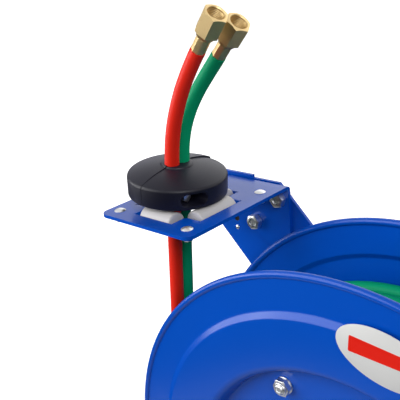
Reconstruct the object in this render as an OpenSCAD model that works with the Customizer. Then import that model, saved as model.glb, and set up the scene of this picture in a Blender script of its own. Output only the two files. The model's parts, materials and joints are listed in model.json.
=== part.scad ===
// Spring-retractable twin welding hose reel.
// X lies across the reel, Y runs along the drum axis (front disc at -Y), Z is up.
// The origin is the centre of the base bolt pattern, on the underside of the base.

/* [Drum] */
// Radius of the two side discs
disc_r = 220; // [214:1:226]
// Height of the drum axis above the floor
axis_h = 250; // [246:1:270]
// Sheet thickness of the discs
disc_t = 1.5; // [1.2:0.1:1.8]
// Outer radius of the wound hose
pack_r = 170; // [168:0.5:170.5]

/* [Hose] */
// Outside radius of one hose
hose_r = 6.3; // [6:0.05:6.3]
// Distance between the two hose centrelines
hose_pitch = 12.7; // [12.65:0.05:12.8]
// X of the vertical hose run
hose_x = -215.1; // [-215.5:0.1:-214.8]
// Y midway between the two hoses
hose_y = -6.1; // [-6.5:0.1:-5.8]

/* [Guide arm and roller bracket] */
// Direction of the guide arm, degrees above +X
arm_angle = 139.1; // [138:0.1:140]
// Tilt of the roller bracket, degrees
tilt = 5.5; // [5:0.1:6]
// Radius of each guide roller
roller_r = 10; // [9.5:0.1:10]

/* [Base] */
// Base width along X
base_w = 200; // [190:1:240]
// Base length along Y
base_l = 230; // [226:1:250]
// Base thickness
base_t = 5; // [4:0.5:6]
// Bolt spacing along X
bolt_x = 160; // [150:1:170]
// Bolt spacing along Y
bolt_y = 190; // [180:1:200]

/* [Hidden] */
$fn = 48;

// drum, measured from its mid plane
face_y = 59.5;        // outer face of the raised flat
rim_y = 55;           // centre plane of the rolled rim
rim_bead_r = 3;
outer_flat_y = 56.2;  // outer face beside the rim
floor_y = 46;         // outer face of the hub recess
floor_in = floor_y - disc_t;
recess_r = 132;
recess_lip_r = 141;
step_in_r = 184.3;
step_out_r = 189.2;
barrel_r = 106.5;
flange_r = 131;
stud_circle = 124.5;
stud_count = 4;
stud_angle = 122.9;
shaft_r = 12.5;
shaft_front = -58;
shaft_back = 108;
bush_gap = 0.05;

// guide arm, in the plane behind the rear disc
arm_y = 71.7;
arm_t = 3;
arm_left = 41.9;      // from the radial line to the left edge
arm_right = 51.5;     // from the radial line to the right edge
hub_r = 70;
post_y = arm_y + arm_t;
post_t = 4;
post_d = 43;
post_w = 2 * hub_r;
arm_bolt_angles = [20, 160, 270];
arm_bolt_circle = 48;
arm_bolt_r = 5;
arm_plug_at = [-212.5, 158.1];
arm_rivet_at = [-211.5, 148.5];

// roller bracket, in its own tilted frame: u along X, y, w up from its top face
brk_x = -149.5;
brk_z = axis_h + 209.8;
brk_w = 106;          // out to its far edge; the near edge is at brk_u1
brk_u1 = -1.2;
brk_y0 = -62.5;
brk_y1 = arm_y;
brk_t = 3;
brk_corner = 8;
bend_r = 4;
win_u = -54.7;        // centre of the roller window
win_y = hose_y;
roll_u = 28.4;        // roller axes from the window's centre
roll_y = 32.1;
roll_w = -5.1;        // roller axes below the top face
long_roller = 43;
short_roller = 35;
slot_half = 10.2;
pin_r = 2;
pin_over = 7;         // pin beyond each end of its roller
tab_gap = 1.3;        // from a roller's end to the tab that holds its pin
tab_w = 13.4;
tab_drop = 11.5;
tab_shift = 2.2;      // from the roller's axis to the middle of its tab
rivet_u = [-94.7, -14.8];
rivet_y = [-49, 45];
nut_seats = [[-11.5, -13.7], [-40.5, -41.4]]; // flange bolts, as u and w

// bumper
bump_r = 43.4;
bump_z = axis_h + 213.1;
bump_side = 17.7;
bump_top = 26.5;
bump_ring = 13.5;
clamp_y = 19;
clamp_z = 8.5;
clamp_r = 2.5;
clamp_seat = 26;      // from the parting plane to the bolt head's seat
clamp_nut = 20;       // from the parting plane to the nut's seat, in a slot open below
clamp_nut_af = 8;
clamp_nut_t = 4;
pocket_r = 5.6;
pocket_half = 5;      // half the straight part of the pocket

// gas inlets behind the post
manifold_r = 24;
inlet_x = 12;
inlet_y = 123;
inlet_r = 7.14;

// ratchet, between the rear disc and the arm
ratchet_y = floor_y + 12;
ratchet_t = 5;
tooth_root = 30;
tooth_r = 46;
tooth_count = 8;
tooth_angle = 84;
pawl_z = 62;          // pawl pivot above the drum axis
pawl_rest = -37;      // direction of the resting pawl

// hose ends: centreline points from the bumper's top, where each hose leaves it
end_z = bump_z + bump_top;
nut_reach = clamp_nut_af / 2 / cos(30) + 0.1;   // from a clamp bolt's axis to the top of its nut's slot
red_end = [[0, 0, 0], [1.1, -0.1, 17.3], [4, -0.3, 34.1], [8.8, -0.6, 50.6],
    [15.2, -1.2, 66.6], [23, -1.9, 81.9], [31, -2.7, 95.2], [36.2, -3.4, 102.7]];
green_end = [[0, 0, 0], [0.7, 0.5, 16.6], [3, 2, 32.6], [7.6, 4.1, 48.2], [14.4, 6.1, 62.8],
    [23.2, 7.3, 76.7], [32, 7, 88.4], [37.6, 6.2, 95.4]];
ferrule_l = 14;
ferrule_r = 5.8;
neck_r = 4.5;
neck_l = 6;
union_l = 23;
union_cone = 3.8;     // turned part below the hexagon
union_af = 18;
union_bore = 6.8;

module on_axis(y) translate([0, y, axis_h]) rotate([-90, 0, 0]) children();
module xz_plate(y, t) translate([0, y + t, axis_h]) rotate([90, 0, 0]) linear_extrude(t) children();
module in_bracket() translate([brk_x, 0, brk_z]) rotate([0, -tilt, 0]) children();
module ring(r_out, r_in, h) difference() {
    cylinder(r = r_out, h = h);
    translate([0, 0, -1]) cylinder(r = r_in, h = h + 2);
}
module hex(af, h) cylinder(r = af / sqrt(3), h = h, $fn = 6);
module hex_nut(af, h, bore) difference() {
    hex(af, h);
    translate([0, 0, -1]) cylinder(r = bore, h = h + 2);
}
module at_polar(r, a) translate([r * cos(a), 0, r * sin(a)]) children();
module rounded_rect(w, l, r) {
    translate([r, 0]) square([w - 2 * r, l]);
    translate([0, r]) square([w, l - 2 * r]);
    for (x = [r, w - r], y = [r, l - r]) translate([x, y]) circle(r);
}

// ---- base and post ----
module base_plate() color("mediumblue") difference() {
    translate([-base_w / 2, -base_l / 2, 0]) linear_extrude(base_t)
        rounded_rect(base_w, base_l, 14);
    for (x = [-bolt_x / 2, bolt_x / 2], y = [-bolt_y / 2, bolt_y / 2])
        translate([x, y, -1]) cylinder(r = 5.5, h = base_t + 2);
}
module arm_bolt_holes(y, t) for (a = arm_bolt_angles)
    translate([0, y - 1, axis_h]) at_polar(arm_bolt_circle, a) rotate([-90, 0, 0])
    cylinder(r = arm_bolt_r + 0.2, h = t + 2);
module post() color("mediumblue") {
    difference() {
        xz_plate(post_y, post_t) {
            circle(hub_r);
            translate([-hub_r, base_t - axis_h]) square([post_w, axis_h - base_t]);
        }
        on_axis(post_y - 1) cylinder(r = shaft_r + 0.5, h = post_t + 2);
        arm_bolt_holes(post_y, post_t);
    }
    for (s = [-1, 1]) translate([s * (hub_r - post_t / 2) - post_t / 2, post_y + post_t, base_t])
        cube([post_t, post_d - post_t, axis_h - base_t]);
}
module main_shaft() color("silver") {
    on_axis(shaft_front) cylinder(r = shaft_r, h = shaft_back - shaft_front);
    on_axis(shaft_front - 4) cylinder(r = 21, h = 4);
    on_axis(shaft_front - 8) hex(17, 4);
}
module shaft_nuts() color("silver") {
    on_axis(post_y + post_t) difference() {
        cylinder(r = 24, h = 2.5);
        translate([0, 0, -1]) cylinder(r = shaft_r, h = 5);
    }
    on_axis(post_y + post_t + 2.5) hex_nut(36, 11, shaft_r);
}
module shaft_spacer() color("dimgray") on_axis(floor_y + 8) ring(18, shaft_r, arm_y - floor_y - 8);

// ---- guide arm ----
module arm_outline() {
    intersection() {
        rotate(arm_angle) translate([0, -arm_right]) square([420, arm_left + arm_right]);
        translate([brk_x, brk_z - axis_h]) rotate(tilt) union() {
            translate([-106, -420]) square([520, 420.5]);
            translate([-106, -20]) square([62, 23.2]);
        }
    }
    circle(hub_r - 2);
}
module arm_holes() for (p = nut_seats)
    translate([p[0], brk_y1 - 40, p[1]]) rotate([-90, 0, 0]) cylinder(r = 4.2, h = 80);
module at_arm(p) translate([p[0], arm_y, axis_h + p[1]]) rotate([-90, 0, 0]) children();
module guide_arm() color("mediumblue") difference() {
    xz_plate(arm_y, arm_t) arm_outline();
    in_bracket() arm_holes();
    on_axis(arm_y - 1) cylinder(r = shaft_r + 0.5, h = arm_t + 2);
    arm_bolt_holes(arm_y, arm_t);
    for (p = [arm_plug_at, arm_rivet_at]) at_arm(p) cylinder(r = p == arm_plug_at ? 3 : 1.6, h = 20,
        center = true);
    translate([0, arm_y - 1, axis_h + pawl_z]) rotate([-90, 0, 0]) cylinder(r = 5.1, h = arm_t + 2);
}
module arm_plug() color("black") at_arm(arm_plug_at) {
    cylinder(r = 3, h = arm_t);
    translate([0, 0, arm_t]) cylinder(r = 4, h = 1.5);
}
module arm_rivet() color("silver") at_arm(arm_rivet_at) {
    translate([0, 0, -1]) cylinder(r = 2.4, h = 1);
    cylinder(r = 1.6, h = arm_t);
    translate([0, 0, arm_t]) cylinder(r = 2.4, h = 1);
}
module arm_bolts() color("silver") for (a = arm_bolt_angles)
    translate([0, arm_y, axis_h]) at_polar(arm_bolt_circle, a) rotate([-90, 0, 0]) {
        translate([0, 0, -5]) cylinder(r = 8, h = 5);
        cylinder(r = arm_bolt_r, h = arm_t + post_t + 13);
        translate([0, 0, arm_t + post_t]) hex_nut(16, 8, arm_bolt_r);
    }

// ---- roller bracket ----
function bend_at(length) = length / 2 + tab_gap + bend_r;
module window() for (s = [[roll_u + slot_half, bend_at(long_roller)],
    [bend_at(short_roller), roll_y + slot_half]])
    translate([-s[0], -s[1]]) square([2 * s[0], 2 * s[1]]);
// a tab bent down at the end of a slot, with the hole for one end of a pin
module tab(edge, axle) difference() {
    mid = sign(axle) * (abs(axle) + tab_shift);
    union() {
        translate([edge, mid + tab_w / 2, -bend_r]) rotate([90, 0, 0]) rotate([0, 0, 90])
            rotate_extrude(angle = 90) translate([bend_r - brk_t, 0]) square([brk_t, tab_w]);
        translate([edge - bend_r, mid - tab_w / 2, -tab_drop]) cube([brk_t, tab_w, tab_drop - bend_r]);
    }
    translate([edge - bend_r - 1, axle, roll_w]) rotate([0, 90, 0])
        cylinder(r = pin_r + 0.05, h = bend_r + 2);
}
module tabs() for (e = [0, 1], s = [-1, 1]) {
    mirror([e, 0, 0]) tab(bend_at(short_roller), s * roll_y);
    rotate(90) mirror([e, 0, 0]) tab(bend_at(long_roller), s * roll_u);
}
module plate_outline() difference() {
    union() {
        translate([-brk_w, brk_y0]) rounded_rect(brk_w + brk_u1, 100, brk_corner);
        translate([-brk_w, brk_y0 + 40]) square([brk_w + brk_u1, brk_y1 - bend_r - brk_y0 - 40]);
    }
    translate([win_u, win_y]) window();
    for (u = rivet_u, y = rivet_y) translate([u, y]) circle(3);
}
module roller_bracket() color("mediumblue") in_bracket() {
    translate([0, 0, -brk_t]) linear_extrude(brk_t) plate_outline();
    translate([win_u, win_y, 0]) tabs();
    translate([-brk_w, brk_y1 - bend_r, -bend_r]) rotate([90, 0, 90])
        rotate_extrude(angle = 90) translate([bend_r - brk_t, 0]) square([brk_t, brk_w + brk_u1]);
    difference() {
        translate([0, brk_y1, 0]) rotate([90, 0, 0]) linear_extrude(brk_t)
            polygon([[-brk_w, -bend_r], [brk_u1, -bend_r], [brk_u1, -72], [-13, -72],
                [-brk_w, -bend_r - 5]]);
        arm_holes();
    }
}
module roller_frame() color("mediumblue") in_bracket() {
    w = roll_w - pin_r - 0.1;
    translate([0, 0, w - 1.5]) linear_extrude(1.5) difference() {
        union() {
            translate([win_u - 44, win_y - 45]) square([88, 90]);
            for (u = rivet_u, y = rivet_y) translate([u, y]) circle(7);
        }
        translate([win_u, win_y]) window();
        for (u = rivet_u, y = rivet_y) translate([u, y]) circle(3);
    }
    for (u = rivet_u, y = rivet_y) translate([u, y, w]) ring(6.5, 3, -brk_t - w);
}
module bracket_rivets() color("silver") in_bracket() for (u = rivet_u, y = rivet_y)
    translate([u, y, 0]) {
        translate([0, 0, -9.8]) cylinder(r = 3, h = 9.8);
        intersection() {
            cylinder(r = 5.2, h = 3);
            translate([0, 0, -6.3]) sphere(r = 8.2);
        }
        translate([0, 0, -9.8]) cylinder(r = 4.2, h = 1.1);
    }
module bracket_bolts() color("silver") in_bracket() for (p = nut_seats) translate([p[0], 0, p[1]]) {
    translate([0, brk_y1 - brk_t - 6.5, 0]) rotate([-90, 0, 0])
        cylinder(r = 4, h = brk_t + arm_t + 6.5);
    translate([0, arm_y + arm_t, 0]) rotate([-90, 0, 0]) hex(13, 5.3);
}
module bracket_nuts() color("silver") in_bracket() for (p = nut_seats)
    translate([p[0], brk_y1 - brk_t, p[1]]) rotate([90, 12, 0]) hex_nut(13, 6.5, 4);
module roller_seat(i) in_bracket() translate([win_u, win_y, roll_w])
    translate(i < 2 ? [0, (2 * i - 1) * roll_y, 0] : [(2 * i - 5) * roll_u, 0, 0])
    rotate(i < 2 ? [0, 90, 0] : [90, 0, 0]) children();
function roller_length(i) = i < 2 ? short_roller : long_roller;
module roller_pins() color("silver") for (i = [0:3]) roller_seat(i)
    cylinder(r = pin_r, h = roller_length(i) + 2 * pin_over, center = true);
module roller(i) color("whitesmoke") roller_seat(i) difference() {
    cylinder(r = roller_r, h = roller_length(i), center = true);
    cylinder(r = pin_r + bush_gap, h = 80, center = true);
}
module roller_front() roller(0);
module roller_rear() roller(1);
module roller_left() roller(2);
module roller_right() roller(3);

// ---- gas inlets ----
module inlet_manifold() color("goldenrod") difference() {
    on_axis(shaft_back) cylinder(r = manifold_r, h = 2 * (inlet_y - shaft_back));
    for (x = [-inlet_x, inlet_x]) translate([x, inlet_y, axis_h - 26]) cylinder(r = 5, h = 18);
}
module inlet_stub(x) color("goldenrod") translate([x, inlet_y, axis_h - 50]) difference() {
    union() {
        cylinder(r = inlet_r, h = 16);
        translate([0, 0, 16]) hex(17, 8);
        translate([0, 0, 24]) cylinder(r = 5, h = 18);
    }
    translate([0, 0, -1]) cylinder(r = 3, h = 40);
}
module oxygen_inlet() inlet_stub(-inlet_x);
module fuel_inlet() inlet_stub(inlet_x);

// ---- ratchet ----
module ratchet_wheel() color("dimgray") {
    on_axis(floor_y) ring(34, 20, ratchet_y - floor_y);
    difference() {
        union() {
            on_axis(ratchet_y) cylinder(r = 36, h = ratchet_t);
            for (k = [0:tooth_count - 1]) xz_plate(ratchet_y, ratchet_t)
                rotate(tooth_angle + 360 / tooth_count * k)
                polygon([[tooth_root, -4], [tooth_r, -2.5], [tooth_r, 2.5], [tooth_root, 4]]);
        }
        on_axis(ratchet_y - 1) cylinder(r = 20, h = ratchet_t + 2);
    }
}
module at_pawl(y) translate([0, y, axis_h + pawl_z]) children();
module pawl_pin() color("silver") {
    at_pawl(ratchet_y - 1) rotate([-90, 0, 0]) cylinder(r = 5, h = arm_y + arm_t - ratchet_y + 1);
    at_pawl(ratchet_y - 3) rotate([-90, 0, 0]) cylinder(r = 7, h = 2);
}
module pawl() color("dimgray") at_pawl(ratchet_y) difference() {
    translate([0, ratchet_t, 0]) rotate([90, 0, 0]) linear_extrude(ratchet_t) {
        circle(8.5);
        rotate(pawl_rest) polygon([[0, -5], [32, -3], [41.5, -2], [41.5, 2], [32, 4], [0, 8]]);
    }
    translate([0, -1, 0]) rotate([-90, 0, 0]) cylinder(r = 5 + bush_gap, h = ratchet_t + 2);
}
module pawl_spring() color("silver") for (k = [0:2])
    at_pawl(ratchet_y + ratchet_t + 0.6 + 2.2 * k) rotate([-90, 0, 0]) ring(7.5, 5.6, 1.6);

// ---- rubber bumper ----
module bumper_profile() polygon([[0, 0], [bump_r - 2, 0], [bump_r, 2], [bump_r, bump_side - 1.5],
    [bump_r - 1.5, bump_side], [bump_ring + 1, bump_top - 1.2], [bump_ring, bump_top], [0, bump_top]]);
// each clamp bolt's head is in one half and its nut in the other, and the two bolts point opposite ways
module at_clamp(s) translate([hose_x, hose_y + s * clamp_y, bump_z + clamp_z])
    rotate([0, -90 * s, 0]) children();
module bumper_half(side) color([0.1, 0.1, 0.12]) difference() {
    translate([hose_x, hose_y, bump_z]) rotate(side > 0 ? -90 : 90)
        rotate_extrude(angle = 180) bumper_profile();
    translate([hose_x - 0.1, hose_y - 60, bump_z - 1]) cube([0.2, 120, 60]);
    for (s = [-1, 1]) {
        translate([hose_x, hose_y + s * hose_pitch / 2, bump_z - 1]) cylinder(r = hose_r + 0.05, h = 60);
        at_clamp(s) {
            translate([0, 0, -clamp_seat - 2]) cylinder(r = clamp_r + 0.05, h = 2 * clamp_seat + 4);
            translate([0, 0, clamp_seat + 20]) {
                for (y = [-pocket_half, pocket_half])
                    translate([0, y, 0]) cylinder(r = pocket_r, h = 40, center = true);
                cube([2 * pocket_r, 2 * pocket_half, 40], center = true);
            }
            translate([-s * (clamp_z + 1 - nut_reach) / 2, 0, -clamp_nut - clamp_nut_t / 2])
                cube([clamp_z + 1 + nut_reach, clamp_nut_af + 0.2, clamp_nut_t + 0.2], center = true);
        }
    }
}
module bumper_half_outer() bumper_half(-1);
module bumper_half_inner() bumper_half(1);
module bumper_bolts() color("silver") for (s = [-1, 1]) at_clamp(s) {
    translate([0, 0, -clamp_seat]) cylinder(r = clamp_r, h = 2 * clamp_seat);
    translate([0, 0, clamp_seat]) hex(8, 3.5);
}
module bumper_nuts() color("silver") for (s = [-1, 1])
    at_clamp(s) translate([0, 0, -clamp_nut - clamp_nut_t]) hex_nut(clamp_nut_af, clamp_nut_t, clamp_r);

// ---- hoses ----
wrap_r = (pack_r + 0.6 + hose_r - hose_x) / 2;
module hose_run(s) {
    y = hose_y + s * hose_pitch / 2;
    translate([hose_x, y, axis_h]) cylinder(r = hose_r, h = end_z - axis_h);
    translate([hose_x + wrap_r, y, axis_h]) rotate([-90, 0, 0]) rotate_extrude(angle = 180, $fn = 96)
        translate([wrap_r, 0]) circle(hose_r);
}
module red_hose_run() color("crimson") hose_run(-1);
module green_hose_run() color("seagreen") hose_run(1);

// a tube of the hose's radius through the points p
function smooth(p, t) = let (n = len(p) - 1, i = min(floor(t), n - 1), f = t - i,
    a = p[max(i - 1, 0)], b = p[i], c = p[i + 1], d = p[min(i + 2, n)])
    0.5 * (2 * b + (c - a) * f + (2 * a - 5 * b + 4 * c - d) * f * f + (3 * b - a - 3 * c + d) * f * f * f);
function slope(p, t) =
    let (d = smooth(p, min(t + 0.02, len(p) - 1)) - smooth(p, max(t - 0.02, 0))) d / norm(d);
module end_tube(p, s) {
    sides = 12;
    steps = 2 * (len(p) - 1);
    function ring_at(k) = let (d = k == 0 ? [0, 0, 1] : slope(p, k / 2),
        u = cross([0, 1, 0], d) / norm(cross([0, 1, 0], d)), v = cross(d, u))
        [for (j = [0:sides - 1]) smooth(p, k / 2)
            + hose_r * (u * cos(360 * j / sides) + v * sin(360 * j / sides))];
    pts = [for (k = [0:steps]) for (v = ring_at(k)) v];
    sides_faces = [for (k = [0:steps - 1], j = [0:sides - 1])
        let (a = k * sides + j, b = k * sides + (j + 1) % sides) [a, b, b + sides, a + sides]];
    translate([hose_x, hose_y + s * hose_pitch / 2, end_z]) polyhedron(pts,
        concat([[for (j = [sides - 1:-1:0]) j]], sides_faces,
            [[for (j = [0:sides - 1]) steps * sides + j]]));
}
module red_hose_end() color("crimson") end_tube(red_end, -1);
module green_hose_end() color("seagreen") end_tube(green_end, 1);
module at_tip(p, s) {
    d = slope(p, len(p) - 1);
    translate([hose_x, hose_y + s * hose_pitch / 2, end_z] + p[len(p) - 1])
        rotate([0, acos(d[2]), atan2(d[1], d[0])]) children();
}
module ferrule() color("goldenrod") difference() {
    union() {
        cylinder(r = ferrule_r, h = ferrule_l);
        translate([0, 0, ferrule_l]) cylinder(r = neck_r, h = neck_l);
        translate([0, 0, ferrule_l + neck_l]) cylinder(r = union_bore - 0.6, h = 3);
    }
    translate([0, 0, 2]) cylinder(r = 2.5, h = 40);
}
module union_nut() color("goldenrod") translate([0, 0, ferrule_l + 0.3]) difference() {
    union() {
        cylinder(r1 = union_bore + 0.6, r2 = union_af / 2, h = union_cone);
        translate([0, 0, union_cone]) hex(union_af, union_l - union_cone);
    }
    translate([0, 0, -1]) cylinder(r = neck_r + bush_gap, h = neck_l + 4);
    translate([0, 0, neck_l - 0.5]) cylinder(r = union_bore, h = 30);
}
module red_ferrule() at_tip(red_end, -1) ferrule();
module green_ferrule() at_tip(green_end, 1) ferrule();
module red_union_nut() at_tip(red_end, -1) union_nut();
module green_union_nut() at_tip(green_end, 1) union_nut();

// ---- drum ----
// half section of a disc's outer face as [radius, y], from the hub out to the rim
function rim_edge(y) = [disc_r - rim_bead_r - sqrt(pow(rim_bead_r, 2) - pow(y - rim_y, 2)), y];
disc_line = [[18, floor_y], [recess_r, floor_y], [recess_lip_r, face_y], [step_in_r, face_y],
    [step_out_r, outer_flat_y], rim_edge(outer_flat_y)];
rim_line = [for (a = [140:-20:-160])
    [disc_r - rim_bead_r + rim_bead_r * cos(a), rim_y + rim_bead_r * sin(a)]];
// the same line on the inner face, from the rim back to the hub
disc_back = [rim_edge(outer_flat_y - disc_t), [step_out_r - 0.6, outer_flat_y - disc_t],
    [step_in_r - 0.6, face_y - disc_t], [recess_lip_r + 0.8, face_y - disc_t],
    [recess_r + 0.8, floor_in], [18, floor_in]];
module disc_section() polygon(concat(disc_line, rim_line, disc_back));
module disc_holes() for (k = [0:stud_count - 1])
    translate([0, 0, axis_h]) at_polar(stud_circle, stud_angle + 90 * k) rotate([90, 0, 0])
    cylinder(r = 4.2, h = 160, center = true);
module front_disc() color("blue") difference() {
    translate([0, 0, axis_h]) rotate([90, 0, 0]) rotate_extrude($fn = 128) disc_section();
    disc_holes();
}
module rear_disc() color("blue") difference() {
    on_axis(0) rotate_extrude($fn = 128) disc_section();
    disc_holes();
}
module drum_barrel() color("dimgray") difference() {
    on_axis(-floor_in) {
        ring(barrel_r, barrel_r - disc_t, 2 * floor_in);
        ring(flange_r, barrel_r - disc_t, disc_t);
        translate([0, 0, 2 * floor_in - disc_t]) ring(flange_r, barrel_r - disc_t, disc_t);
    }
    disc_holes();
}
module each_stud() for (m = [0, 1], k = [0:stud_count - 1])
    mirror([0, m, 0]) translate([0, disc_t - floor_in, axis_h])
    at_polar(stud_circle, stud_angle + 90 * k) rotate([90, 0, 0]) children();
module disc_studs() color("silver") each_stud() {
    cylinder(r = 4, h = 14);
    translate([0, 0, -1.2]) cylinder(r = 5.5, h = 1.2);
}
module disc_nuts() color("silver") each_stud() translate([0, 0, 2 * disc_t]) {
    ring(7.4, 4, 1.2);
    translate([0, 0, 1.2]) hex_nut(13, 6.5, 4);
}
module spring_case() color("dimgray") on_axis(-42.4) {
    ring(100, 98, 36);
    translate([0, 0, 34]) ring(98, 21, 2);
}
module spring_cover() color("dimgray") on_axis(-floor_in) ring(104, 21, 2);
spring_turns = 6;
function spiral(r0, a) = (r0 + 11 * a / 360) * [cos(a), sin(a)];
module power_spring() color("slategray") on_axis(-40) linear_extrude(30) polygon(concat(
    [for (a = [0:15:360 * spring_turns]) spiral(24, a)],
    [for (a = [360 * spring_turns:-15:0]) spiral(22.8, a)]));
module spring_arbor() color("dimgray") on_axis(-39) ring(18, shaft_r, 30);
module bearing() {
    ring(17.9, shaft_r + bush_gap, 7);
    translate([0, 0, 4.5]) ring(24, shaft_r + bush_gap, 2.5);
}
module front_bearing() color("peru") translate([0, -floor_y + 4.5, axis_h]) rotate([90, 0, 0]) bearing();
module rear_bearing() color("peru") on_axis(floor_in - 3) ring(17.9, shaft_r + bush_gap, 9);
rotor_r = 26;
module swivel_rotor() color("goldenrod") on_axis(6) difference() {
    cylinder(r = rotor_r, h = 28);
    translate([0, 0, -1]) cylinder(r = shaft_r + bush_gap, h = 30);
}
module swivel_seals() color("black") for (y = [3.8, 34.2]) on_axis(y) ring(20, shaft_r + bush_gap, 2);
module outlet_pipes() color("goldenrod") for (y = [13, 27])
    translate([0, y, axis_h + rotor_r]) cylinder(r = 4.5, h = barrel_r - disc_t - rotor_r - 0.3);
// the green hose of each pair lies over the red one, which sinks between two greens
lay_y = 16.4;         // spacing of the pairs along the drum
sink_r = 9.65;        // from the green hose down to the red one
module turns(y, rows, top) on_axis(y) rotate_extrude($fn = 96)
    for (j = [0:rows - 1]) translate([top - 2 * sink_r * j, 0]) circle(hose_r);
module red_winding() color("crimson") for (k = [-2:2])
    turns(k * lay_y, 3, pack_r - hose_r - sink_r);
module green_winding() color("seagreen") for (k = [-2.5:2.5])
    turns(k * lay_y, abs(k) > 2 ? 2 : 3, pack_r - hose_r);
module label_plate() color("white") translate([17, -face_y, axis_h + 177.5]) rotate([90, -6.5, 0])
    scale([36, 20, 0.5]) cylinder(r = 1, h = 1);

base_plate();
post();
main_shaft();
shaft_nuts();
shaft_spacer();
guide_arm();
arm_bolts();
arm_plug();
arm_rivet();
roller_bracket();
roller_frame();
bracket_rivets();
bracket_bolts();
bracket_nuts();
roller_pins();
roller_front();
roller_rear();
roller_left();
roller_right();
inlet_manifold();
oxygen_inlet();
fuel_inlet();
spring_arbor();
pawl_pin();
pawl();
pawl_spring();
bumper_half_outer();
bumper_half_inner();
bumper_bolts();
bumper_nuts();
red_hose_run();
green_hose_run();
red_hose_end();
green_hose_end();
red_ferrule();
green_ferrule();
red_union_nut();
green_union_nut();
front_disc();
rear_disc();
drum_barrel();
disc_studs();
disc_nuts();
spring_case();
spring_cover();
power_spring();
front_bearing();
rear_bearing();
swivel_rotor();
swivel_seals();
outlet_pipes();
ratchet_wheel();
red_winding();
green_winding();
label_plate();
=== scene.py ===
import math
import json

import bpy
import bmesh
from mathutils import Matrix, Vector


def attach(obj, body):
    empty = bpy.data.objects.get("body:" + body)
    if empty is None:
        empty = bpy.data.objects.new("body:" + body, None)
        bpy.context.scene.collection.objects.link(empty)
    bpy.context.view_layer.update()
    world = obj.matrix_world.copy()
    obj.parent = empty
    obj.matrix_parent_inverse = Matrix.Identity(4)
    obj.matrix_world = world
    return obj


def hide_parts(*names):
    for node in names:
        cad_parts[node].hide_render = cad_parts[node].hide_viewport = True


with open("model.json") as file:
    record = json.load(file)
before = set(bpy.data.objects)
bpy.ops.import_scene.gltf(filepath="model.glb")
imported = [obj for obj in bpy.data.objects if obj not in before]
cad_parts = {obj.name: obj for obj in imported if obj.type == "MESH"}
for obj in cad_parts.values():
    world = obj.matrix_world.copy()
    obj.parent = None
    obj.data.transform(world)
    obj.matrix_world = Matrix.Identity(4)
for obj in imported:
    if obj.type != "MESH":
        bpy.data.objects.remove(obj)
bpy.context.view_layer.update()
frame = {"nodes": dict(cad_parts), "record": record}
NODES = frame["nodes"]
BODY_OF = {n: b for b, members in frame["record"]["behaviour"]["bodies"].items() for n in members}
scene = bpy.context.scene
scene.view_settings.view_transform = "Standard"

# ---------- sizes in millimetres, angles in degrees ----------
MM = 0.001
AXIS_H = 250.0

# hose: the two centrelines lie HOSE_PITCH apart about HOSE_Y, and run straight down by RUN_DOWN
HOSE_R = 6.3
HOSE_X, HOSE_Y = -215.1, -6.1
HOSE_PITCH = 12.7
RUN_DOWN = 240

# wound hose: turns lie LAY_Y apart in rows LAY_R apart, and step over in the last part of each turn
PACK_R = 170.0
PACK_GAP = 0.6
LAY_Y = 16.4
LAY_R = 9.65
STEP_OVER = 0.86

# bumper and its clamp bolts
BUMP_Z = AXIS_H + 213.1
BUMP_R = 43.4
BUMP_H = 26.5
END_Z = BUMP_Z + BUMP_H
CLAMP_Y, CLAMP_Z = 19.0, BUMP_Z + 8.5
CLAMP_REACH = 26
CLAMP_AF = 8
OUTER_TIP = 1.1

# free hose ends: centrelines from the bumper's top, the ferrules and the union nuts
RED_END = [(0, 0, 0), (1.1, -0.1, 17.3), (4, -0.3, 34.1), (8.8, -0.6, 50.6),
           (15.2, -1.2, 66.6), (23, -1.9, 81.9), (31, -2.7, 95.2), (36.2, -3.4, 102.7)]
GREEN_END = [(0, 0, 0), (0.7, 0.5, 16.6), (3, 2, 32.6), (7.6, 4.1, 48.2),
             (14.4, 6.1, 62.8), (23.2, 7.3, 76.7), (32, 7, 88.4), (37.6, 6.2, 95.4)]
FERRULE_L, FERRULE_R, FERRULE_FLAT, FERRULE_BORE = 14.0, 6.0, 5.62, 3.0
NECK_L, NECK_R = 6.0, 4.5
NOSE_R, NOSE_BORE = 6.1, 2.5
UNION_L, UNION_CONE, UNION_AF, UNION_BORE = 23.0, 3.8, 18.0, 6.8
THREAD_PITCH = 1.4
UNION_SPIN = 14

# drum discs, as radii and distances from the middle of the drum
DISC_R = 220.0
HUB_R, HUB_Y = 18, 46
WALL_R, LIP_R, FACE_Y = 138.0, 141, 59.5
RING_R, STEP_R, STEP_Y = 184.3, 189.2, 56.2
SHEET = 1.5
RIM_Y, BEAD_R = 55.0, 3.0
STUD_CIRCLE, STUD_ANGLE, STUD_Y = 124.5, 122.9, 43
STUD_R, STUD_END = 4, 12
M8_AF = 13

# label: its half axes, its place on the disc and how far it and its band are turned
LABEL_LONG, LABEL_SHORT = 36.0, 20.0
LABEL_T = 0.5
LABEL_AT = (17, 177.5)
LABEL_TURN, BAND_TURN = -6.5, 7

# bracket, its fasteners and the rollers: u runs along the bracket's plate and w square to it
TILT = 5.5
BRACKET_AT = (-149.5, 0.0, AXIS_H + 209.8)
RIVET_U, RIVET_Y = (-94.7, -14.8), (-49, 45)
RIVET_R = 3
FLANGE_BOLTS = ((-11.5, -13.7), (-40.5, -41.4))
FLANGE_Y, FLANGE_NUT_Y = 74.7, 68.7
WIN_U, WIN_Y = -54.7, HOSE_Y
ROLL_U, ROLL_Y, ROLL_W = 28.4, 32.1, -5.1
ROLLER_R, PIN_R = 10.0, 2.0
LONG_ROLLER, SHORT_ROLLER = 43, 35
PIN_OUT = 7

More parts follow.
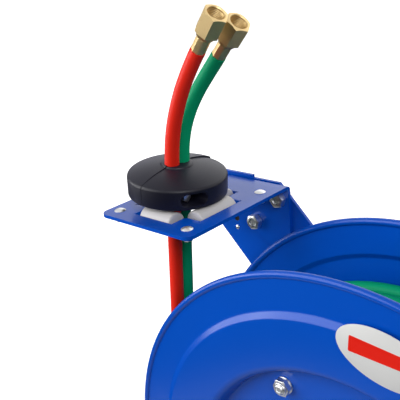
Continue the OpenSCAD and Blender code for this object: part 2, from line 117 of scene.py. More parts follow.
# arm and shaft
ARM_Y = 71.7
ARM_BACK_Y = 78.7
ARM_BOLT_CIRCLE, ARM_BOLT_ANGLES, ARM_BOLT_AF = 48, (20, 160, 270), 16
PLUG_AT, RIVET_AT = (-212.5, 158.1), (-211.5, 148.5)
SHAFT_NUT_AF, SHAFT_R = 36, 12.5


# ---------- small helpers ----------
def move(x, y, z):
    return Matrix.Translation((x, y, z))


def rotate(degrees, axis):
    return Matrix.Rotation(math.radians(degrees), 4, axis)


def fillet(points, radii, steps=5, closed=False):
    """The 2D line with its corners rounded; radii gives one radius for each point."""
    out = []
    count = len(points)
    for i, p in enumerate(points):
        b = Vector(p)
        if radii[i] <= 0 or (not closed and i in (0, count - 1)):
            out.append(tuple(b))
            continue
        a, c = Vector(points[i - 1]), Vector(points[(i + 1) % count])
        u, v = (a - b).normalized(), (c - b).normalized()
        angle = u.angle(v)
        if angle > math.pi - 0.03:
            out.append(tuple(b))
            continue
        reach = min(radii[i] / math.tan(angle / 2), 0.49 * (a - b).length, 0.49 * (c - b).length)
        radius = reach * math.tan(angle / 2)
        centre = b + (u + v).normalized() * (radius / math.sin(angle / 2))
        s, e = b + u * reach - centre, b + v * reach - centre
        a0, a1 = math.atan2(s.y, s.x), math.atan2(e.y, e.x)
        swing = (a1 - a0 + math.pi) % (2 * math.pi) - math.pi
        for k in range(steps + 1):
            t = a0 + swing * k / steps
            out.append((centre.x + radius * math.cos(t), centre.y + radius * math.sin(t)))
    return out


class Shape:
    """Collects closed solids, in millimetres, for one piece."""

    def __init__(self):
        self.verts, self.faces = [], []

    def add(self, verts, faces, m=None):
        k = len(self.verts)
        self.verts += [(m @ Vector(p)) if m else Vector(p) for p in verts]
        self.faces += [[i + k for i in f] for f in faces]
        return self

    def turn(self, profile, m, seg, start=0.0, arc=360.0, loop=False):
        """profile is [(r, z)], or a function of the angle that gives it, turned about local Z."""
        shape_at = profile if callable(profile) else (lambda a: profile)
        full = arc >= 360
        rows = seg if full else seg + 1
        verts = []
        for i in range(rows):
            a = math.radians(start + arc * i / seg)
            row = shape_at(a)
            verts += [(r * math.cos(a), r * math.sin(a), z) for r, z in row]
        n = len(row)
        faces = []
        for i in range(seg):
            j = (i + 1) % rows
            for k in range(n if loop else n - 1):
                q = (k + 1) % n
                faces.append([i * n + k, j * n + k, j * n + q, i * n + q])
        if not full:
            faces.append(list(range(n))[::-1])
            faces.append([(rows - 1) * n + k for k in range(n)])
        elif not loop:
            if row[0][0] > 1e-6:
                faces.append([i * n for i in range(rows)][::-1])
            if row[-1][0] > 1e-6:
                faces.append([i * n + n - 1 for i in range(rows)])
        return self.add(verts, faces, m)

    def prism(self, outline, z0, z1, m):
        n = len(outline)
        verts = [(x, y, z) for z in (z0, z1) for x, y in outline]
        sides = [[k, (k + 1) % n, n + (k + 1) % n, n + k] for k in range(n)]
        return self.add(verts, sides + [list(range(n))[::-1], list(range(n, 2 * n))], m)

    def tube(self, points, r, sides):
        """A round bar with flat ends along the points."""
        points = [Vector(p) for p in points]
        angles = [2 * math.pi * k / sides for k in range(sides)]
        rows = []
        side = None
        for i, p in enumerate(points):
            ahead = (points[min(i + 1, len(points) - 1)] - points[max(i - 1, 0)]).normalized()
            if side is None:
                side = ahead.orthogonal().normalized()
            side = (side - ahead * side.dot(ahead)).normalized()
            other = ahead.cross(side)
            rows.append([p + (side * math.cos(a) + other * math.sin(a)) * r for a in angles])
        verts = [v for row in rows for v in row]
        faces = []
        for i in range(len(rows) - 1):
            for k in range(sides):
                q = (k + 1) % sides
                faces.append([i * sides + k, i * sides + q, (i + 1) * sides + q, (i + 1) * sides + k])
        faces.append(list(range(sides))[::-1])
        faces.append([(len(rows) - 1) * sides + k for k in range(sides)])
        return self.add(verts, faces)


def hexagon_r(angle, af):
    """Radius of a hexagon, af across its flats, at this angle in radians."""
    return af / 2 / math.cos(math.radians((math.degrees(angle) % 60) - 30))


def hexagon(af, h, bore=0.0, low=0.95, high=0.95):
    """Profile of a hexagonal nut or head whose corners are turned down at each end."""
    slope = 0.55

    def at(a):
        r = hexagon_r(a, af)
        r_low, r_high = min(r, af / 2 * low), min(r, af / 2 * high)
        start, end = (r - r_low) * slope, h - (r - r_high) * slope
        return [(bore, 0), (r_low, 0), (r, start), (r, end), (r_high, h), (bore, h)]
    return at


def ring(r_out, r_in, h):
    """Profile of a flat washer."""
    edge = 0.3
    corners = [(r_in, 0), (r_out, 0), (r_out, h), (r_in, h)]
    return fillet(corners, [edge * 0.5, edge, edge, edge * 0.5], 2, True)


def rod(r, z0, z1):
    """Profile of a round bar with chamfered ends."""
    edge = 0.4
    return [(0, z0), (r - edge, z0), (r, z0 + edge), (r, z1 - edge), (r - edge, z1), (0, z1)]


def clean_mesh(shape, name):
    me = bpy.data.meshes.new(name)
    me.from_pydata([tuple(v * MM) for v in shape.verts], [], shape.faces)
    bm = bmesh.new()
    bm.from_mesh(me)
    bmesh.ops.remove_doubles(bm, verts=bm.verts, dist=2e-6)
    bmesh.ops.recalc_face_normals(bm, faces=bm.faces)
    bm.to_mesh(me)
    bm.free()
    return me


def place(shape, name, node, slot, smooth=38.0, body=None, look=None):
    """Makes the shape an object that stands for this CAD node, or an extra piece on a body if node is None.

    The material is the slot's own, unless look names another one."""
    me = clean_mesh(shape, name)
    me.shade_smooth()
    me.set_sharp_from_angle(angle=math.radians(smooth))
    obj = bpy.data.objects.new(name, me)
    scene.collection.objects.link(obj)
    me.materials.append(FINISH[look or slot])
    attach(obj, body or BODY_OF[node])
    if node:
        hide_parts(node)
    return obj


def soften(node, slot, width, shift=None):
    """The CAD node's own form with its edges rounded, its points first moved by shift if that is given."""
    sharp = math.radians(40.0)
    source = NODES[node].data
    bm = bmesh.new()
    bm.from_mesh(source)
    bmesh.ops.remove_doubles(bm, verts=bm.verts, dist=2e-6)
    bmesh.ops.dissolve_limit(bm, angle_limit=math.radians(0.6), verts=bm.verts, edges=bm.edges)
    bmesh.ops.recalc_face_normals(bm, faces=bm.faces)
    verts = [tuple(shift(v.co) if shift else v.co) for v in bm.verts]
    faces = [[v.index for v in f.verts] for f in bm.faces]
    bm.free()
    me = bpy.data.meshes.new(node + "_finish")
    me.from_pydata(verts, [], faces)
    me.shade_smooth()
    me.set_sharp_from_angle(angle=sharp)
    obj = bpy.data.objects.new(node + "_finish", me)
    scene.collection.objects.link(obj)
    me.materials.append(FINISH[slot])
    bevel = obj.modifiers.new("edge", "BEVEL")
    bevel.width = width * MM
    bevel.segments = 2
    bevel.limit_method = "ANGLE"
    bevel.angle_limit = sharp
    bevel.harden_normals = True
    bevel.use_clamp_overlap = True
    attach(obj, BODY_OF[node])
    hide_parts(node)


# ---------- shader helpers ----------
def map_range(tree, value, source, result, smooth=True):
    """The socket of a node that turns value, over the range source, into the range result."""
    node = tree.nodes.new("ShaderNodeMapRange")
    if smooth:
        node.interpolation_type = "SMOOTHSTEP"
    node.inputs["From Min"].default_value = source[0]
    node.inputs["From Max"].default_value = source[1]
    node.inputs["To Min"].default_value = result[0]
    node.inputs["To Max"].default_value = result[1]
    tree.links.new(value, node.inputs["Value"])
    return node.outputs["Result"]


def calculate(tree, operation, a, b):
    node = tree.nodes.new("ShaderNodeMath")
    node.operation = operation
    tree.links.new(a, node.inputs[0])
    tree.links.new(b, node.inputs[1])
    return node.outputs["Value"]


def choose(tree, switch, if_off, if_on):
    """The value if_on where switch is 1 and if_off where it is 0; each is a number or a socket."""
    node = tree.nodes.new("ShaderNodeMix")
    node.data_type = "FLOAT"
    tree.links.new(switch, node.inputs["Factor"])
    for key, value in (("A", if_off), ("B", if_on)):
        if isinstance(value, float):
            node.inputs[key].default_value = value
        else:
            tree.links.new(value, node.inputs[key])
    return node.outputs["Result"]


# ---------- materials ----------
def material(name, colour, rough, grain, metal=0.0, specular=0.5, bump=0.0, mottle=0.0, wear=0.0, sheen=0.0):
    """Principled surface with fine noise in its colour, its roughness and its relief."""
    mat = bpy.data.materials.new(name)
    mat.use_nodes = True
    nt = mat.node_tree
    bsdf = nt.nodes["Principled BSDF"]
    bsdf.inputs["Metallic"].default_value = metal
    bsdf.inputs["Specular IOR Level"].default_value = specular
    bsdf.inputs["Sheen Weight"].default_value = sheen
    bsdf.inputs["Sheen Roughness"].default_value = 0.45
    bsdf.inputs["Sheen Tint"].default_value = (0.55, 0.55, 0.95, 1.0)
    coords = nt.nodes.new("ShaderNodeTexCoord")

    broad = nt.nodes.new("ShaderNodeTexNoise")
    broad.inputs["Scale"].default_value = 14.0
    broad.inputs["Detail"].default_value = 3.0
    nt.links.new(coords.outputs["Object"], broad.inputs["Vector"])
    ramp = nt.nodes.new("ShaderNodeValToRGB")
    ramp.color_ramp.elements[0].position = 0.3
    ramp.color_ramp.elements[0].color = (*(c * (1 - mottle) for c in colour), 1.0)
    ramp.color_ramp.elements[1].position = 0.7
    ramp.color_ramp.elements[1].color = (*colour, 1.0)
    nt.links.new(broad.outputs["Fac"], ramp.inputs["Fac"])
    nt.links.new(ramp.outputs["Color"], bsdf.inputs["Base Color"])

    fine = nt.nodes.new("ShaderNodeTexNoise")
    fine.inputs["Scale"].default_value = grain
    fine.inputs["Detail"].default_value = 2.0
    nt.links.new(coords.outputs["Object"], fine.inputs["Vector"])
    spread = 0.03 + wear
    rough_range = (max(0.02, rough - spread), min(1.0, rough + spread))
    varied = map_range(nt, fine.outputs["Fac"], (0.0, 1.0), rough_range, smooth=False)
    nt.links.new(varied, bsdf.inputs["Roughness"])
    if bump > 0:
        relief = nt.nodes.new("ShaderNodeBump")
        relief.inputs["Strength"].default_value = bump
        relief.inputs["Distance"].default_value = 0.0002
        nt.links.new(fine.outputs["Fac"], relief.inputs["Height"])
        nt.links.new(relief.outputs["Normal"], bsdf.inputs["Normal"])
    return mat


LOOKS = {
    "blue_paint": dict(
        colour=(0.0, 0.072, 0.48), rough=0.24, grain=900,
        specular=0.27, bump=0.03, mottle=0.03),
    "zinc_steel": dict(
        colour=(0.80, 0.81, 0.82), rough=0.34, grain=700,
        metal=1.0, bump=0.08, mottle=0.12, wear=0.05),
    "dark_steel": dict(
        colour=(0.20, 0.20, 0.22), rough=0.42, grain=500,
        metal=1.0, bump=0.2, mottle=0.2, wear=0.05),
    "brass_fitting": dict(
        colour=(0.80, 0.60, 0.30), rough=0.42, grain=600,
        metal=1.0, bump=0.08, mottle=0.08, wear=0.04),
    "bronze": dict(
        colour=(0.50, 0.33, 0.18), rough=0.45, grain=800,
        metal=1.0, bump=0.25, mottle=0.2),
    "red_rubber": dict(
        colour=(0.76, 0.018, 0.006), rough=0.45, grain=1400,
        specular=0.2, bump=0.15, mottle=0.05),
    "green_rubber": dict(
        colour=(0.0, 0.34, 0.15), rough=0.5, grain=1400,
        specular=0.12, bump=0.15, mottle=0.06),
    "black_rubber": dict(
        colour=(0.004, 0.004, 0.011), rough=0.45, grain=900,
        specular=0.3, bump=0.2, mottle=0.15, sheen=0.06),
    "white_nylon": dict(
        colour=(0.54, 0.525, 0.53), rough=0.42, grain=500,
        specular=0.35, bump=0.1, mottle=0.04),
    "label_white": dict(
        colour=(0.63, 0.63, 0.62), rough=0.30, grain=300,
        specular=0.35, mottle=0.02),
    "label_red": dict(
        colour=(0.72, 0.012, 0.004), rough=0.30, grain=300,
        specular=0.35, mottle=0.02),
    # Near-black of the arm's plug: painted shade standing in for the dark inside of its spare hole.
    "hole_shade_black": dict(
        colour=(0.008, 0.008, 0.009), rough=0.6, grain=900,
        specular=0.2, bump=0.2, mottle=0.2)}
FINISH = {name: material(name, **look) for name, look in LOOKS.items()}


# ---------- camera ----------
def make_camera():
    """The camera stands where a fit to the photograph's outlines puts it, in metres."""
    back = Vector((0.5897, -0.7049, 0.3941)).normalized()
    right = Vector((0.7675, 0.6410, -0.0020)).normalized()
    up = back.cross(right).normalized()
    data = bpy.data.cameras.new("camera")
    data.sensor_width = 36.0
    data.lens = 61.12
    data.shift_x = -0.080
    data.shift_y = -0.035
    camera = bpy.data.objects.new("camera", data)
    facing = Matrix((right, up, back)).transposed().to_4x4()
    camera.matrix_world = Matrix.Translation((0.1705, -0.3937, 0.7007)) @ facing
    scene.collection.objects.link(camera)
    scene.camera = camera


# ---------- free hose ends, the cords ----------
def end_point(points, side, t):
    """A point of the hose end's centreline, t counted in spans."""
    n = len(points) - 1
    i = min(int(t), n - 1)
    f = t - i
    a, b, c, d = (Vector(points[j]) for j in (max(i - 1, 0), i, i + 1, min(i + 2, n)))
    p = 0.5 * (2 * b + (c - a) * f + (2 * a - 5 * b + 4 * c - d) * f * f + (3 * b - a - 3 * c + d) * f ** 3)
    return p + Vector((HOSE_X, HOSE_Y + side * HOSE_PITCH / 2, END_Z))


def tip_frame(points, side):
    """Local Z runs out of the hose end, with its origin in the cut face."""
    n = len(points) - 1
    tip = end_point(points, side, n)
    out = (tip - end_point(points, side, n - 0.02)).normalized()
    heading, lean = math.degrees(math.atan2(out.y, out.x)), math.degrees(math.acos(out.z))
    return move(*tip) @ rotate(heading, "Z") @ rotate(lean, "Y")


def hose_end(name, points, side, slot, node):
    data = bpy.data.curves.new(name, "CURVE")
    data.dimensions = "3D"
    data.bevel_depth = HOSE_R * MM
    data.bevel_resolution = 7
    data.use_fill_caps = True
    count = 36
    spline = data.splines.new("POLY")
    spline.points.add(count - 1)
    for k in range(count):
        p = end_point(points, side, (len(points) - 1) * k / (count - 1)) * MM
        spline.points[k].co = (*p, 1.0)
    spline.use_smooth = True
    obj = bpy.data.objects.new(name, data)
    scene.collection.objects.link(obj)
    data.materials.append(FINISH[slot])
    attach(obj, "root")
    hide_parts(node)
    return obj


def ferrule(name, points, side, node):
    """Crimped sleeve with lengthwise flats, its neck and the nose inside the union nut."""
    nose = FERRULE_L + NECK_L

    def sleeve(a):
        flat = math.radians((math.degrees(a) % 45) - 22.5)
        r = min(FERRULE_R, FERRULE_FLAT / math.cos(flat))
        crimped = [(FERRULE_BORE, 0), (r - 0.2, 0), (r, 0.3),
                   (r, FERRULE_L - 0.9), (r - 0.5, FERRULE_L - 0.2)]
        neck = [(NECK_R + 0.4, FERRULE_L), (NECK_R, FERRULE_L + 0.3), (NECK_R, nose)]
        cone = [(NOSE_R, nose + 0.4), (NOSE_R, nose + 2.2), (4.2, nose + 4.5), (NOSE_BORE, nose + 4.5)]
        return crimped + neck + cone + [(NOSE_BORE, 2), (FERRULE_BORE, 2)]
    shape = Shape().turn(sleeve, tip_frame(points, side), 64, loop=True)
    return place(shape, name, node, "brass_fitting", 30)


def union_nut(name, points, side, node):
    """Hexagon nut with a turned cone below and a threaded mouth."""
    def body(a):
        r = hexagon_r(a, UNION_AF)
        low, top = UNION_AF / 2 * 0.97, UNION_AF / 2 * 0.965
        row = [(NECK_R + 0.1, 0), (6.8, 0), (7.1, 0.3), (low, UNION_CONE)]
        row += [(r, UNION_CONE + (r - low) * 0.5), (r, UNION_L - (r - top) * 0.55), (top, UNION_L)]
        row += [(UNION_BORE + 0.6, UNION_L), (UNION_BORE, UNION_L - 0.7)]
        z = UNION_L - 1.3
        while z > NECK_L + 1:
            row += [(UNION_BORE - 0.05, z), (UNION_BORE + 0.42, z - THREAD_PITCH / 2)]
            z -= THREAD_PITCH
        return row + [(UNION_BORE, NECK_L - 0.5), (NECK_R + 0.1, NECK_L - 0.6)]
    m = tip_frame(points, side) @ move(0, 0, FERRULE_L + 0.3) @ rotate(UNION_SPIN, "Z")
    return place(Shape().turn(body, m, 72, loop=True), name, node, "brass_fitting", 30)


def make_hose_ends():
    red_ferrule = ferrule("red_ferrule_finish", RED_END, -1, "red_ferrule")
    green_ferrule = ferrule("green_ferrule_finish", GREEN_END, 1, "green_ferrule")
    red_nut = union_nut("red_union_nut_finish", RED_END, -1, "red_union_nut")
    green_nut = union_nut("green_union_nut_finish", GREEN_END, 1, "green_union_nut")
    red_end = hose_end("red_free_end", RED_END, -1, "red_rubber", "red_hose_end")
    green_end = hose_end("green_free_end", GREEN_END, 1, "green_rubber", "green_hose_end")


# ---------- hose on the reel ----------
def hose_run(name, side, slot, node):
    """The hose from the bumper's top straight down, then in a half circle under the winding."""
    y = HOSE_Y + side * HOSE_PITCH / 2
    steps = 24
    points = [(HOSE_X, y, END_Z - RUN_DOWN * k / steps) for k in range(steps + 1)]
    wrap_r = (PACK_R + PACK_GAP + HOSE_R - HOSE_X) / 2
    centre_x = HOSE_X + wrap_r
    half_turn = 60
    for k in range(1, half_turn + 1):
        a = math.pi + math.pi * k / half_turn
        points.append((centre_x + wrap_r * math.cos(a), y, AXIS_H + wrap_r * math.sin(a)))
    place(Shape().tube(points, HOSE_R, 24), name, node, slot)


def winding(name, lanes, layers, slot, node):
    """Rows of turns; each turn steps to the next lane near the bottom of the drum."""
    shape = Shape()
    steps = 84
    for r in layers:
        points = []
        for lane in range(lanes):
            for k in range(steps):
                a = 2 * math.pi * k / steps - math.pi / 2
                f = max(0.0, (k / steps - STEP_OVER) / (1 - STEP_OVER))
                f = f * f * (3 - 2 * f)
                if lane == lanes - 1 and f > 0:
                    break
                y = (lane - (lanes - 1) / 2 + f) * LAY_Y
                points.append((r * math.cos(a), y, AXIS_H + r * math.sin(a)))
        shape.tube(points, HOSE_R, 16)
    place(shape, name, node, slot)


def make_hose():
    hose_run("red_run", -1, "red_rubber", "red_hose_run")
    hose_run("green_run", 1, "green_rubber", "green_hose_run")
    top = PACK_R - HOSE_R
    winding("green_wound", 6, (top, top - 2 * LAY_R), "green_rubber", "green_winding")
    winding("red_wound", 5, (top - LAY_R,), "red_rubber", "red_winding")


# ---------- drum discs, with the studs and nuts that hold them to the barrel ----------
def disc_outline():
    """One disc's closed outline: its outer face from hub to rim, the rolled rim, and its inner face back."""
    bead_c = DISC_R - BEAD_R
    outer = [(HUB_R, HUB_Y), (WALL_R, HUB_Y), (LIP_R, FACE_Y), (RING_R, FACE_Y), (STEP_R, STEP_Y),
             (bead_c - 2.75, STEP_Y)]
    bead = [(bead_c + BEAD_R * math.cos(math.radians(a)), RIM_Y + BEAD_R * math.sin(math.radians(a)))
            for a in range(144, -169, -12)]
    inner = [(bead_c - 2.98, STEP_Y - SHEET), (STEP_R - 0.6, STEP_Y - SHEET), (RING_R - 0.6, FACE_Y - SHEET),
             (LIP_R + 1.4, FACE_Y - SHEET), (WALL_R + 1.4, HUB_Y - SHEET), (HUB_R, HUB_Y - SHEET)]
    return fillet(outer, [0, 1.2, 9, 3, 4, 0], 8) + bead + fillet(inner, [0, 3, 4, 7.5, 2.5, 0], 8)


def make_discs():
    for node, facing in (("front_disc", 90), ("rear_disc", -90)):
        shape = Shape().turn(disc_outline(), move(0, 0, AXIS_H) @ rotate(facing, "X"), 192, loop=True)
        place(shape, node + "_finish", node, "blue_paint", 50)


def make_studs():
    head = [(0, -1.2), (5.2, -1.2), (5.5, -0.9), (5.5, 0), (STUD_R, 0)]
    end = [(STUD_R, STUD_END - 0.7), (3.3, STUD_END), (2.2, STUD_END),
           (1.9, STUD_END - 0.6), (0, STUD_END - 0.6)]
    collar = fillet([(STUD_R, 0), (5.7, 0), (5.4, 1.3), (STUD_R, 1.3)], [0, 0, 0.7, 0.2], 4, True)
    washer_z, washer_t, nut_t = 3, 1.2, 5.2
    studs, nuts = Shape(), Shape()
    for facing in (1, -1):
        for k in range(4):
            a = math.radians(STUD_ANGLE + 90 * k)
            foot = (STUD_CIRCLE * math.cos(a), -facing * STUD_Y, AXIS_H + STUD_CIRCLE * math.sin(a))
            m = move(*foot) @ rotate(90 * facing, "X")
            studs.turn(head + end, m, 32)
            nuts.turn(ring(7.4, STUD_R, washer_t), m @ move(0, 0, washer_z), 40, loop=True)
            nut_m = m @ move(0, 0, washer_z + washer_t) @ rotate(9 + 17 * k, "Z")
            nuts.turn(hexagon(M8_AF, nut_t, STUD_R, 0.97, 0.95), nut_m, 72, loop=True)
            nuts.turn(collar, m @ move(0, 0, washer_z + washer_t + nut_t), 40, loop=True)
    place(studs, "disc_studs_finish", "disc_studs", "zinc_steel")
    place(nuts, "disc_nuts_finish", "disc_nuts", "zinc_steel", 30)


def make_label():
    """An oval plate on the front disc, with one plain band."""
    m = move(LABEL_AT[0], -FACE_Y, AXIS_H + LABEL_AT[1]) @ rotate(90, "X") @ rotate(LABEL_TURN, "Z")

    def oval(a):
        r = 1 / math.sqrt((math.cos(a) / LABEL_LONG) ** 2 + (math.sin(a) / LABEL_SHORT) ** 2)
        return [(0, 0), (r, 0), (r, LABEL_T - 0.06), (r - 0.1, LABEL_T), (0, LABEL_T)]
    place(Shape().turn(oval, m, 96), "label_finish", "label_plate", "label_white")
    outline = fillet([(-26, 5.5), (23, 5), (23, -5), (-26, -7)], [1, 1.5, 1.5, 1], 4, True)
    band_m = m @ rotate(BAND_TURN, "Z") @ move(0, 2.5, 0)
    band = Shape().prism(outline, LABEL_T - 0.05, LABEL_T + 0.06, band_m)
    place(band, "label_band", None, "label_white", body="drum", look="label_red")


# ---------- roller bracket's fasteners and the rollers ----------
IN_BRACKET = move(*BRACKET_AT) @ rotate(-TILT, "Y")


def make_rivets():
    dome = [(0, 1.9), (1.6, 1.75), (3.1, 1.3), (4.3, 0.7), (5.0, 0.15), (5.0, 0)]
    shank = [(RIVET_R, 0), (RIVET_R, -8.8), (4.2, -8.8), (3.8, -9.6), (0, -9.8)]
    rivets = Shape()
    for u in RIVET_U:
        for y in RIVET_Y:
            rivets.turn(dome + shank, IN_BRACKET @ move(u, y, 0), 32)
    place(rivets, "bracket_rivets_finish", "bracket_rivets", "zinc_steel", 30)


def make_flange_fasteners():
    bolts, nuts = Shape(), Shape()
    for u, w in FLANGE_BOLTS:
        m = IN_BRACKET @ move(u, FLANGE_NUT_Y, w) @ rotate(90, "X")
        bolts.turn([(0, -6), (4, -6), (4, 4.4), (3.0, 5.4), (0, 5.4)], m, 32)
        head_m = IN_BRACKET @ move(u, FLANGE_Y, w) @ rotate(-90, "X")
        bolts.turn(hexagon(M8_AF, 5.3, 0, 0.98, 0.95), head_m, 72)
        nuts.turn(hexagon(M8_AF, 6.5, 4, 0.97, 0.93), m @ rotate(12, "Z"), 72, loop=True)
    place(bolts, "bracket_bolts_finish", "bracket_bolts", "zinc_steel", 30)
    place(nuts, "bracket_nuts_finish", "bracket_nuts", "zinc_steel", 30)


def make_rollers():
    window = IN_BRACKET @ move(WIN_U, WIN_Y, ROLL_W)
    pins = Shape()
    for node, across, shift, length in (
            ("roller_front", "Y", (0, -ROLL_Y, 0), SHORT_ROLLER),
            ("roller_rear", "Y", (0, ROLL_Y, 0), SHORT_ROLLER),
            ("roller_left", "X", (-ROLL_U, 0, 0), LONG_ROLLER),
            ("roller_right", "X", (ROLL_U, 0, 0), LONG_ROLLER)):
        m = window @ move(*shift) @ rotate(90, across)
        half = length / 2
        bore = PIN_R + 0.05
        corners = [(bore, -half), (ROLLER_R, -half), (ROLLER_R, half), (bore, half)]
        line = fillet(corners, [0.3, 1.6, 1.6, 0.3], 5, True)
        place(Shape().turn(line, m, 64, loop=True), node + "_finish", node, "white_nylon", 30)
        pins.turn(rod(PIN_R, -half - PIN_OUT, half + PIN_OUT), m, 24)
    place(pins, "roller_pins_finish", "roller_pins", "zinc_steel", 30)


# ---------- rubber bumper ----------
def bumper_line():
    """Profile of the bumper: flat below, a straight side, a rounded shoulder, a low dome and a collar."""
    foot = fillet([(0, 0), (BUMP_R, 0), (BUMP_R, 17.7)], [0, 1.0, 0], 3)[:-1]
    shoulder = fillet([(BUMP_R, 8), (BUMP_R, 17.6), (36, 20.4)], [0, 3.2, 0], 6)[1:]
    dome = [(31, 22.0), (25.5, 23.3), (20, 24.3), (16, 24.9), (14.4, 25.1)]
    collar = [(13.9, 25.6), (13.5, 26.3), (12.8, BUMP_H), (0, BUMP_H)]
    return foot + shoulder + dome + collar


def cut(obj, cutter):
    """Takes the cutter's shape out of the object's mesh."""
    tool = bpy.data.objects.new("cutter", clean_mesh(cutter, "cutter"))
    scene.collection.objects.link(tool)
    mod = obj.modifiers.new("cutter", "BOOLEAN")
    mod.operation = "DIFFERENCE"
    mod.solver = "EXACT"
    mod.object = tool
    with bpy.context.temp_override(object=obj, active_object=obj):
        bpy.ops.object.modifier_apply(modifier=mod.name)
    bpy.data.objects.remove(tool)


def bumper_half(name, side, node, tip):
    """Half of the bumper, with a pocket for one bolt's head and a slot, open below, for the other's nut."""
    m = move(HOSE_X + side * 0.05, HOSE_Y - BUMP_R, BUMP_Z) @ rotate(tip, "X") @ move(0, BUMP_R, 0)
    half = Shape().turn(bumper_line(), m, 72, -90 if side > 0 else 90, 180)
    obj = place(half, name, node, "black_rubber", 32)
    pocket_r, pocket_reach = 5.6, 5
    stadium = []
    for end in (1, -1):
        for degrees in range(-90 * end, 90 * end + end, 15 * end):
            a = math.radians(degrees)
            stadium.append((pocket_r * math.sin(a), end * (pocket_reach + pocket_r * math.cos(a))))
    head_at = move(HOSE_X, HOSE_Y - side * CLAMP_Y, CLAMP_Z) @ rotate(side * 90, "Y")
    cut(obj, Shape().prism(stadium, CLAMP_REACH, 60, head_at))
    slot_w, slot_top, slot_foot = 4.1, 4.7, BUMP_Z - CLAMP_Z - 1
    slot = [(-slot_w, slot_foot), (slot_w, slot_foot), (slot_w, slot_top), (-slot_w, slot_top)]
    nut_at = move(HOSE_X, HOSE_Y + side * CLAMP_Y, CLAMP_Z) @ rotate(90 * side, "Z")
    nut_at = nut_at @ rotate(90, "X") @ rotate(180, "Y")
    cut(obj, Shape().prism(slot, 19.9, 24.1, nut_at))
    obj.data.set_sharp_from_angle(angle=math.radians(32))


def make_bumper():
    bumper_half("bumper_outer_finish", -1, "bumper_half_outer", OUTER_TIP)
    bumper_half("bumper_inner_finish", 1, "bumper_half_inner", 0.0)
    bolts, nuts = Shape(), Shape()
    for side in (-1, 1):
        m = move(HOSE_X, HOSE_Y - side * CLAMP_Y, CLAMP_Z) @ rotate(side * 90, "Y")
        bolts.turn(rod(2.5, -CLAMP_REACH, CLAMP_REACH), m, 24)
        bolts.turn(hexagon(CLAMP_AF, 3.5, 0, 0.98, 0.94), m @ move(0, 0, CLAMP_REACH), 72)
        nuts.turn(hexagon(CLAMP_AF, 4, 2.5), m @ move(0, 0, -24), 72, loop=True)
    place(bolts, "bumper_bolts_finish", "bumper_bolts", "zinc_steel", 30)
    place(nuts, "bumper_nuts_finish", "bumper_nuts", "zinc_steel", 30)


# ---------- fasteners on the arm and the shaft ----------
def make_arm_fasteners():
    shank = fillet([(0, -5), (6.2, -5), (8, -2.4), (8, 0), (5, 0), (5, 19.3), (4.3, 20), (0, 20)],
                   [0, 2.5, 2, 0, 0, 0, 0, 0], 4)
    bolts = Shape()
    for a in ARM_BOLT_ANGLES:
        x = ARM_BOLT_CIRCLE * math.cos(math.radians(a))
        z = ARM_BOLT_CIRCLE * math.sin(math.radians(a))
        m = move(x, ARM_Y, AXIS_H + z) @ rotate(-90, "X")
        bolts.turn(shank, m, 40)
        bolts.turn(hexagon(ARM_BOLT_AF, 8, 5), m @ move(0, 0, 7), 72, loop=True)
    place(bolts, "arm_bolts_finish", "arm_bolts", "zinc_steel", 30)
    # The plug's near-black finish stands in for the dark inside of the arm's spare hole: painted shade.
    plug = [(0, 0.9), (2.2, 0.7), (2.8, 0.1), (3, 0.4), (3, 3), (4, 3), (3.8, 4.2), (2.6, 4.5), (0, 4.5)]
    rivet = [(0, -1), (1.3, -0.9), (2.1, -0.5), (2.4, 0), (1.6, 0), (1.6, 3), (2.4, 3), (2.0, 3.7), (0, 4)]
    plug_m = move(PLUG_AT[0], ARM_Y, AXIS_H + PLUG_AT[1]) @ rotate(-90, "X")
    plug_shape = Shape().turn(plug, plug_m, 32)
    place(plug_shape, "arm_plug_finish", "arm_plug", "black_rubber", 30, look="hole_shade_black")
    rivet_m = move(RIVET_AT[0], ARM_Y, AXIS_H + RIVET_AT[1]) @ rotate(-90, "X")
    place(Shape().turn(rivet, rivet_m, 24), "arm_rivet_finish", "arm_rivet", "zinc_steel", 30)


def make_shaft_nuts():
    nuts = Shape()
    washer_t = 2.5
    m = move(0, ARM_BACK_Y, AXIS_H) @ rotate(-90, "X")
    nuts.turn(ring(24, SHAFT_R, washer_t), m, 64, loop=True)
    nut_m = m @ move(0, 0, washer_t) @ rotate(15, "Z")
    nuts.turn(hexagon(SHAFT_NUT_AF, 11, SHAFT_R), nut_m, 72, loop=True)
    place(nuts, "shaft_nuts_finish", "shaft_nuts", "zinc_steel", 30)


# ---------- everything else keeps its CAD form, with its edges rounded ----------
def slim_ear(co):
    """The roller frame's ears drawn in round their rivets, clear of the bracket's edges."""
    ear_r, squeeze = 7.1, 0.35
    p = IN_BRACKET.inverted() @ (co / MM)
    for u in RIVET_U:
        for y in RIVET_Y:
            away = Vector((p.x - u, p.y - y, 0))
            if RIVET_R + 0.2 < away.length < ear_r:
                near_by = away.normalized() * (RIVET_R + (away.length - RIVET_R) * squeeze)
                p = Vector((u + near_by.x, y + near_by.y, p.z))
    return (IN_BRACKET @ p) * MM


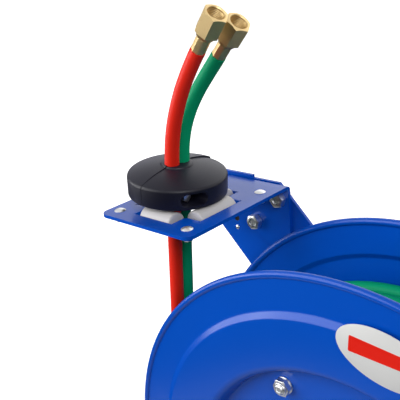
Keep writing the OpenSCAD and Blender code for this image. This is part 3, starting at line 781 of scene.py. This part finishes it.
def soften_the_rest():
    for node, slot, width in (
            ("roller_bracket", "blue_paint", 0.8), ("guide_arm", "blue_paint", 0.6),
            ("post", "blue_paint", 0.8), ("base_plate", "blue_paint", 1.0),
            ("main_shaft", "zinc_steel", 0.6), ("shaft_spacer", "dark_steel", 0.3),
            ("inlet_manifold", "brass_fitting", 1.0), ("oxygen_inlet", "brass_fitting", 0.4),
            ("fuel_inlet", "brass_fitting", 0.4), ("spring_arbor", "dark_steel", 0.3),
            ("pawl_pin", "zinc_steel", 0.3), ("pawl", "dark_steel", 0.4),
            ("pawl_spring", "zinc_steel", 0.3), ("drum_barrel", "dark_steel", 0.3),
            ("spring_case", "dark_steel", 0.3), ("spring_cover", "dark_steel", 0.3),
            ("power_spring", "dark_steel", 0.2), ("front_bearing", "bronze", 0.3),
            ("rear_bearing", "bronze", 0.3), ("swivel_rotor", "brass_fitting", 0.5),
            ("swivel_seals", "black_rubber", 0.2), ("outlet_pipes", "brass_fitting", 0.2),
            ("ratchet_wheel", "dark_steel", 0.3)):
        soften(node, slot, width)
    soften("roller_frame", "blue_paint", 0.3, shift=slim_ear)


# ---------- floor, world and lights ----------
def make_floor():
    """Pale to the camera, with a soft white glow away from the part.

    To all other rays it is grey, and in reflections it is lighter near the part and black beyond."""
    bpy.ops.mesh.primitive_plane_add(size=30)
    floor = bpy.context.object
    floor.name = "floor"
    mat = bpy.data.materials.new("floor")
    mat.use_nodes = True
    tree = mat.node_tree
    pale = tree.nodes["Principled BSDF"]
    pale.inputs["Base Color"].default_value = (0.92, 0.92, 0.92, 1.0)
    pale.inputs["Roughness"].default_value = 0.9
    pale.inputs["Specular IOR Level"].default_value = 0.1
    pale.inputs["Emission Color"].default_value = (1.0, 1.0, 1.0, 1.0)
    where = tree.nodes.new("ShaderNodeNewGeometry")
    reach = tree.nodes.new("ShaderNodeVectorMath")
    reach.operation = "LENGTH"
    tree.links.new(where.outputs["Position"], reach.inputs[0])
    distance = reach.outputs["Value"]
    tree.links.new(map_range(tree, distance, (0.30, 0.62), (0.05, 0.7)), pale.inputs["Emission Strength"])
    dim = tree.nodes.new("ShaderNodeBsdfDiffuse")
    ray = tree.nodes.new("ShaderNodeLightPath")
    near = map_range(tree, distance, (0.51, 0.55), (0.6, 0.0))
    tree.links.new(choose(tree, ray.outputs["Is Glossy Ray"], 0.22, near), dim.inputs["Color"])
    either = tree.nodes.new("ShaderNodeMixShader")
    tree.links.new(ray.outputs["Is Camera Ray"], either.inputs["Fac"])
    tree.links.new(dim.outputs["BSDF"], either.inputs[1])
    tree.links.new(pale.outputs["BSDF"], either.inputs[2])
    tree.links.new(either.outputs["Shader"], tree.nodes["Material Output"].inputs["Surface"])
    floor.data.materials.append(mat)


def make_world():
    """White to the camera; to all other rays, pale behind the reel and dim in front of it.

    Reflections also find it pale above the horizon, all round."""
    world = bpy.data.worlds.new("studio")
    scene.world = world
    world.use_nodes = True
    tree = world.node_tree
    shine = tree.nodes["Background"]
    shine.inputs["Color"].default_value = (1.0, 1.0, 1.0, 1.0)
    sky = tree.nodes.new("ShaderNodeTexCoord")
    parts = tree.nodes.new("ShaderNodeSeparateXYZ")
    tree.links.new(sky.outputs["Generated"], parts.inputs["Vector"])
    path = tree.nodes.new("ShaderNodeLightPath")
    fade = map_range(tree, parts.outputs["Y"], (0.2, 0.75), (0.04, 1.6))
    rise = map_range(tree, parts.outputs["Z"], (0.0, 0.3), (0.0, 0.8))
    mirrored = calculate(tree, "MULTIPLY", rise, path.outputs["Is Glossy Ray"])
    unseen = calculate(tree, "MAXIMUM", fade, mirrored)
    strength = choose(tree, path.outputs["Is Camera Ray"], unseen, 1.0)
    tree.links.new(strength, shine.inputs["Strength"])


def soft_light(name, at, target, size, power):
    data = bpy.data.lights.new(name, "AREA")
    data.shape = "DISK"
    data.size = size
    data.energy = power
    lamp = bpy.data.objects.new(name, data)
    lamp.location = at
    lamp.rotation_mode = "QUATERNION"
    lamp.rotation_quaternion = (Vector(target) - Vector(at)).to_track_quat("-Z", "Y")
    scene.collection.objects.link(lamp)


# ---------- the scene ----------
make_camera()
make_hose_ends()
make_hose()
make_discs()
make_studs()
make_label()
make_rivets()
make_flange_fasteners()
make_rollers()
make_bumper()
make_arm_fasteners()
make_shaft_nuts()
soften_the_rest()
make_floor()
make_world()
soft_light("key", (-1.93, -2.3, 1.44), (-0.05, 0, 0.35), 3.0, 94)
soft_light("side", (-1.75, -0.75, 0.35), (-0.16, 0, 0.55), 1.1, 13)
soft_light("top", (1.5, -1.3, 2.1), (-0.1, 0, 0.4), 1.2, 33)

bpy.context.view_layer.update()
